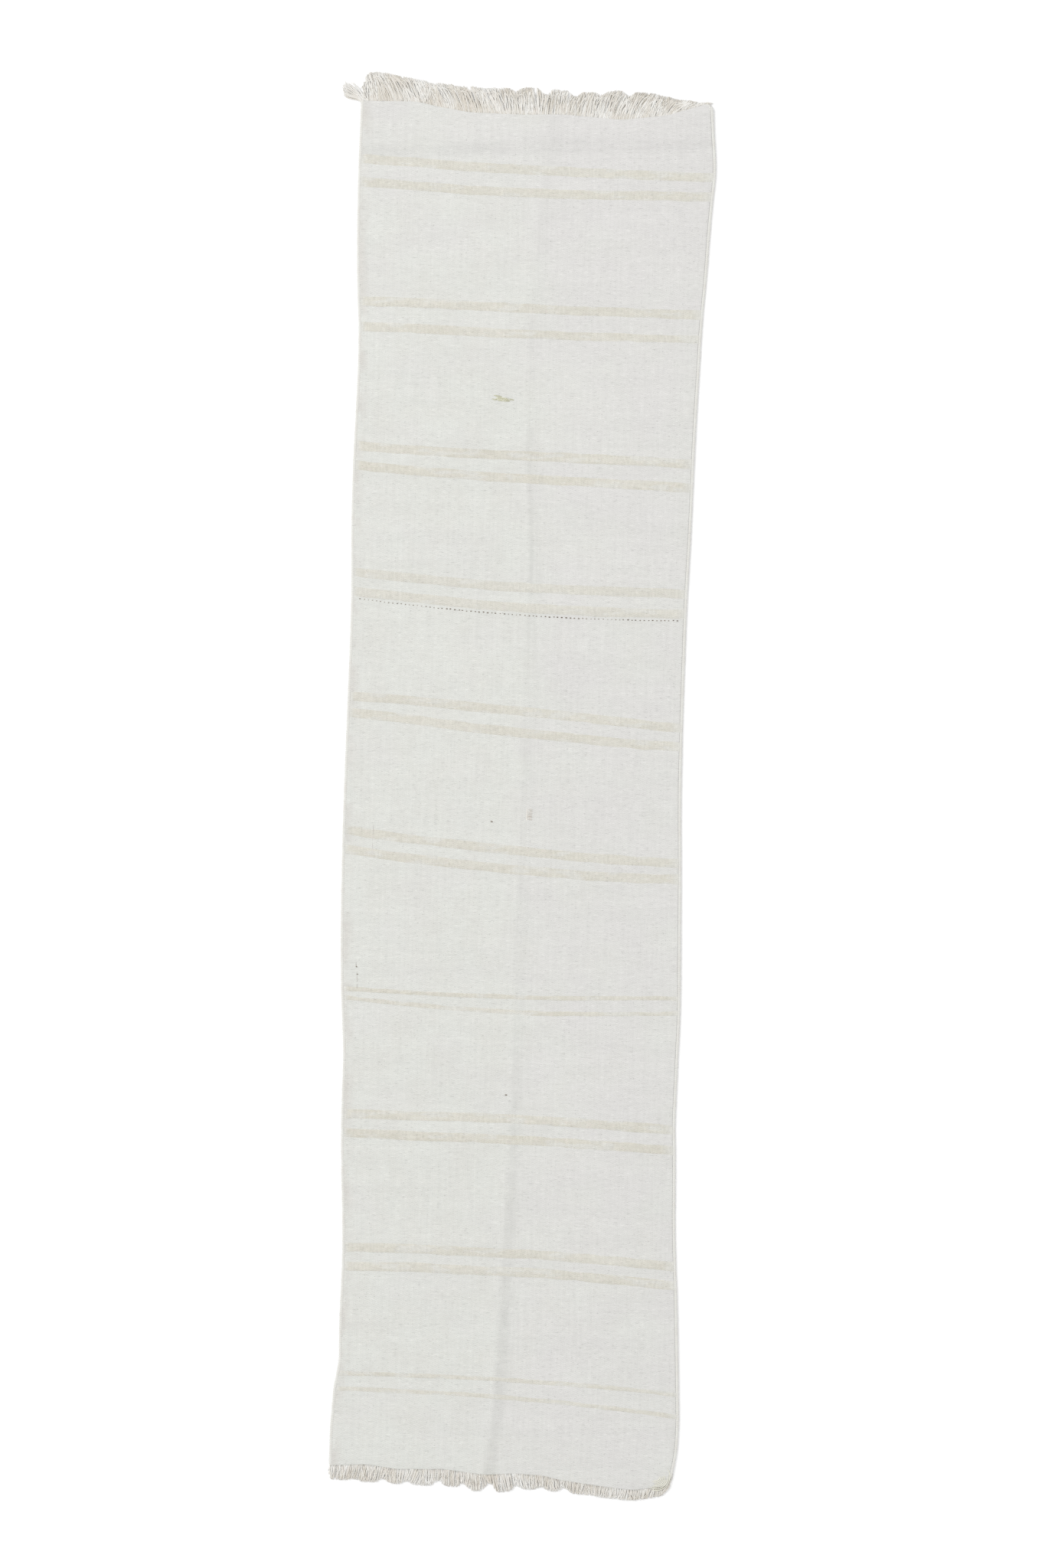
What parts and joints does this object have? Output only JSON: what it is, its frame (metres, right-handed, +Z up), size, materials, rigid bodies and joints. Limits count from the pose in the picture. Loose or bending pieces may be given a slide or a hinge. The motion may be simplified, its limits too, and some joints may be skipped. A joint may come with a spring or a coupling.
{
  "type": "table runner",
  "caption": "Long flat-woven cloth runner, off-white with pairs of darker weft stripes, bound long edges and fringed ends; both ends fold over the middle.",
  "frame": {"origin": "centre of the rectangle that the laid-out runner covers, on the surface it lies on", "axes": "+Y along the length to the far end, +X across to the right, +Z up out of the face"},
  "size_m": [0.4364, 1.6492, 0.0032],
  "materials": {
    "ground": "matt undyed hemp and cotton weave",
    "stripe": "matt beige weft bands",
    "selvedge": "matt bound edge",
    "fringe": "matt twisted warp ends",
    "dark_yarn": "matt dark wool",
    "ochre_yarn": "matt ochre yarn",
    "grey_yarn": "matt grey yarn"
  },
  "bodies": {
    "middle": {"dark_marker_pick": "dark_yarn", "middle_left_selvedge": "selvedge", "middle_panel": "ground", "middle_right_selvedge": "selvedge", "ochre_darn": "ochre_yarn", "small_darn": "grey_yarn", "stripe_03_far": "stripe", "stripe_03_near": "stripe", "stripe_04_far": "stripe", "stripe_04_near": "stripe", "stripe_05_far": "stripe", "stripe_05_near": "stripe", "stripe_06_far": "stripe", "stripe_06_near": "stripe", "stripe_07_far": "stripe", "stripe_07_near": "stripe", "stripe_08_far": "stripe", "stripe_08_near": "stripe"},
    "far_end": {"far_left_selvedge": "selvedge", "far_panel": "ground", "far_right_selvedge": "selvedge", "stripe_01_far": "stripe", "stripe_01_near": "stripe", "stripe_02_far": "stripe", "stripe_02_near": "stripe"},
    "near_end": {"near_left_selvedge": "selvedge", "near_panel": "ground", "near_right_selvedge": "selvedge", "stripe_09_far": "stripe", "stripe_09_near": "stripe", "stripe_10_far": "stripe", "stripe_10_near": "stripe"},
    "far_tassel_01_body": {"far_tassel_01": "fringe"},
    "far_tassel_02_body": {"far_tassel_02": "fringe"},
    "far_tassel_03_body": {"far_tassel_03": "fringe"},
    "far_tassel_04_body": {"far_tassel_04": "fringe"},
    "far_tassel_05_body": {"far_tassel_05": "fringe"},
    "far_tassel_06_body": {"far_tassel_06": "fringe"},
    "far_tassel_07_body": {"far_tassel_07": "fringe"},
    "far_tassel_08_body": {"far_tassel_08": "fringe"},
    "far_tassel_09_body": {"far_tassel_09": "fringe"},
    "far_tassel_10_body": {"far_tassel_10": "fringe"},
    "far_tassel_11_body": {"far_tassel_11": "fringe"},
    "far_tassel_12_body": {"far_tassel_12": "fringe"},
    "far_tassel_13_body": {"far_tassel_13": "fringe"},
    "near_tassel_01_body": {"near_tassel_01": "fringe"},
    "near_tassel_02_body": {"near_tassel_02": "fringe"},
    "near_tassel_03_body": {"near_tassel_03": "fringe"},
    "near_tassel_04_body": {"near_tassel_04": "fringe"},
    "near_tassel_05_body": {"near_tassel_05": "fringe"},
    "near_tassel_06_body": {"near_tassel_06": "fringe"},
    "near_tassel_07_body": {"near_tassel_07": "fringe"},
    "near_tassel_08_body": {"near_tassel_08": "fringe"},
    "near_tassel_09_body": {"near_tassel_09": "fringe"},
    "near_tassel_10_body": {"near_tassel_10": "fringe"},
    "near_tassel_11_body": {"near_tassel_11": "fringe"},
    "near_tassel_12_body": {"near_tassel_12": "fringe"},
    "near_tassel_13_body": {"near_tassel_13": "fringe"}
  },
  "joints": [
    {"name": "far_end_fold", "type": "hinge", "parent": "middle", "child": "far_end", "pos_m": [0.00569, 0.48431, 0.0037], "axis": [1, 0, 0], "range_deg": [0, 180]},
    {"name": "near_end_fold", "type": "hinge", "parent": "middle", "child": "near_end", "pos_m": [0.00569, -0.50116, 0.0037], "axis": [-1, 0, 0], "range_deg": [0, 180]},
    {"name": "far_tassel_01_sway", "type": "hinge", "parent": "far_end", "child": "far_tassel_01_body", "pos_m": [-0.19616, 0.79222, 0], "axis": [0, 0, 1], "range_deg": [-15, 15]},
    {"name": "far_tassel_02_sway", "type": "hinge", "parent": "far_end", "child": "far_tassel_02_body", "pos_m": [-0.16296, 0.79254, 0], "axis": [0, 0, 1], "range_deg": [-15, 15]},
    {"name": "far_tassel_03_sway", "type": "hinge", "parent": "far_end", "child": "far_tassel_03_body", "pos_m": [-0.13058, 0.7927, 0], "axis": [0, 0, 1], "range_deg": [-15, 15]},
    {"name": "far_tassel_04_sway", "type": "hinge", "parent": "far_end", "child": "far_tassel_04_body", "pos_m": [-0.09793, 0.78633, 0], "axis": [0, 0, 1], "range_deg": [-15, 15]},
    {"name": "far_tassel_05_sway", "type": "hinge", "parent": "far_end", "child": "far_tassel_05_body", "pos_m": [-0.06515, 0.78167, 0], "axis": [0, 0, 1], "range_deg": [-15, 15]},
    {"name": "far_tassel_06_sway", "type": "hinge", "parent": "far_end", "child": "far_tassel_06_body", "pos_m": [-0.03248, 0.78087, 0], "axis": [0, 0, 1], "range_deg": [-15, 15]},
    {"name": "far_tassel_07_sway", "type": "hinge", "parent": "far_end", "child": "far_tassel_07_body", "pos_m": [0.00017, 0.78059, 0], "axis": [0, 0, 1], "range_deg": [-15, 15]},
    {"name": "far_tassel_08_sway", "type": "hinge", "parent": "far_end", "child": "far_tassel_08_body", "pos_m": [0.03271, 0.78153, 0], "axis": [0, 0, 1], "range_deg": [-15, 15]},
    {"name": "far_tassel_09_sway", "type": "hinge", "parent": "far_end", "child": "far_tassel_09_body", "pos_m": [0.06559, 0.77991, 0], "axis": [0, 0, 1], "range_deg": [-15, 15]},
    {"name": "far_tassel_10_sway", "type": "hinge", "parent": "far_end", "child": "far_tassel_10_body", "pos_m": [0.09858, 0.77772, 0], "axis": [0, 0, 1], "range_deg": [-15, 15]},
    {"name": "far_tassel_11_sway", "type": "hinge", "parent": "far_end", "child": "far_tassel_11_body", "pos_m": [0.13086, 0.77986, 0], "axis": [0, 0, 1], "range_deg": [-15, 15]},
    {"name": "far_tassel_12_sway", "type": "hinge", "parent": "far_end", "child": "far_tassel_12_body", "pos_m": [0.16252, 0.78433, 0], "axis": [0, 0, 1], "range_deg": [-15, 15]},
    {"name": "far_tassel_13_sway", "type": "hinge", "parent": "far_end", "child": "far_tassel_13_body", "pos_m": [0.19247, 0.79375, 0], "axis": [0, 0, 1], "range_deg": [-15, 15]},
    {"name": "near_tassel_01_sway", "type": "hinge", "parent": "near_end", "child": "near_tassel_01_body", "pos_m": [-0.17697, -0.79187, 0], "axis": [0, 0, 1], "range_deg": [-15, 15]},
    {"name": "near_tassel_02_sway", "type": "hinge", "parent": "near_end", "child": "near_tassel_02_body", "pos_m": [-0.1471, -0.79151, 0], "axis": [0, 0, 1], "range_deg": [-15, 15]},
    {"name": "near_tassel_03_sway", "type": "hinge", "parent": "near_end", "child": "near_tassel_03_body", "pos_m": [-0.11711, -0.79547, 0], "axis": [0, 0, 1], "range_deg": [-15, 15]},
    {"name": "near_tassel_04_sway", "type": "hinge", "parent": "near_end", "child": "near_tassel_04_body", "pos_m": [-0.08724, -0.79476, 0], "axis": [0, 0, 1], "range_deg": [-15, 15]},
    {"name": "near_tassel_05_sway", "type": "hinge", "parent": "near_end", "child": "near_tassel_05_body", "pos_m": [-0.05741, -0.79493, 0], "axis": [0, 0, 1], "range_deg": [-15, 15]},
    {"name": "near_tassel_06_sway", "type": "hinge", "parent": "near_end", "child": "near_tassel_06_body", "pos_m": [-0.02768, -0.79846, 0], "axis": [0, 0, 1], "range_deg": [-15, 15]},
    {"name": "near_tassel_07_sway", "type": "hinge", "parent": "near_end", "child": "near_tassel_07_body", "pos_m": [0.00217, -0.79847, 0], "axis": [0, 0, 1], "range_deg": [-15, 15]},
    {"name": "near_tassel_08_sway", "type": "hinge", "parent": "near_end", "child": "near_tassel_08_body", "pos_m": [0.03195, -0.79823, 0], "axis": [0, 0, 1], "range_deg": [-15, 15]},
    {"name": "near_tassel_09_sway", "type": "hinge", "parent": "near_end", "child": "near_tassel_09_body", "pos_m": [0.06143, -0.80148, 0], "axis": [0, 0, 1], "range_deg": [-15, 15]},
    {"name": "near_tassel_10_sway", "type": "hinge", "parent": "near_end", "child": "near_tassel_10_body", "pos_m": [0.0907, -0.80634, 0], "axis": [0, 0, 1], "range_deg": [-15, 15]},
    {"name": "near_tassel_11_sway", "type": "hinge", "parent": "near_end", "child": "near_tassel_11_body", "pos_m": [0.11993, -0.8099, 0], "axis": [0, 0, 1], "range_deg": [-15, 15]},
    {"name": "near_tassel_12_sway", "type": "hinge", "parent": "near_end", "child": "near_tassel_12_body", "pos_m": [0.14922, -0.81298, 0], "axis": [0, 0, 1], "range_deg": [-15, 15]},
    {"name": "near_tassel_13_sway", "type": "hinge", "parent": "near_end", "child": "near_tassel_13_body", "pos_m": [0.17915, -0.81033, 0], "axis": [0, 0, 1], "range_deg": [-15, 15]}
  ],
  "couplings": [
    {"joint": "far_tassel_01_sway", "follows": "far_tassel_07_sway", "ratio": 1},
    {"joint": "far_tassel_02_sway", "follows": "far_tassel_07_sway", "ratio": 1},
    {"joint": "far_tassel_03_sway", "follows": "far_tassel_07_sway", "ratio": 1},
    {"joint": "far_tassel_04_sway", "follows": "far_tassel_07_sway", "ratio": 1},
    {"joint": "far_tassel_05_sway", "follows": "far_tassel_07_sway", "ratio": 1},
    {"joint": "far_tassel_06_sway", "follows": "far_tassel_07_sway", "ratio": 1},
    {"joint": "far_tassel_08_sway", "follows": "far_tassel_07_sway", "ratio": 1},
    {"joint": "far_tassel_09_sway", "follows": "far_tassel_07_sway", "ratio": 1},
    {"joint": "far_tassel_10_sway", "follows": "far_tassel_07_sway", "ratio": 1},
    {"joint": "far_tassel_11_sway", "follows": "far_tassel_07_sway", "ratio": 1},
    {"joint": "far_tassel_12_sway", "follows": "far_tassel_07_sway", "ratio": 1},
    {"joint": "far_tassel_13_sway", "follows": "far_tassel_07_sway", "ratio": 1},
    {"joint": "near_tassel_01_sway", "follows": "near_tassel_07_sway", "ratio": 1},
    {"joint": "near_tassel_02_sway", "follows": "near_tassel_07_sway", "ratio": 1},
    {"joint": "near_tassel_03_sway", "follows": "near_tassel_07_sway", "ratio": 1},
    {"joint": "near_tassel_04_sway", "follows": "near_tassel_07_sway", "ratio": 1},
    {"joint": "near_tassel_05_sway", "follows": "near_tassel_07_sway", "ratio": 1},
    {"joint": "near_tassel_06_sway", "follows": "near_tassel_07_sway", "ratio": 1},
    {"joint": "near_tassel_08_sway", "follows": "near_tassel_07_sway", "ratio": 1},
    {"joint": "near_tassel_09_sway", "follows": "near_tassel_07_sway", "ratio": 1},
    {"joint": "near_tassel_10_sway", "follows": "near_tassel_07_sway", "ratio": 1},
    {"joint": "near_tassel_11_sway", "follows": "near_tassel_07_sway", "ratio": 1},
    {"joint": "near_tassel_12_sway", "follows": "near_tassel_07_sway", "ratio": 1},
    {"joint": "near_tassel_13_sway", "follows": "near_tassel_07_sway", "ratio": 1}
  ]
}
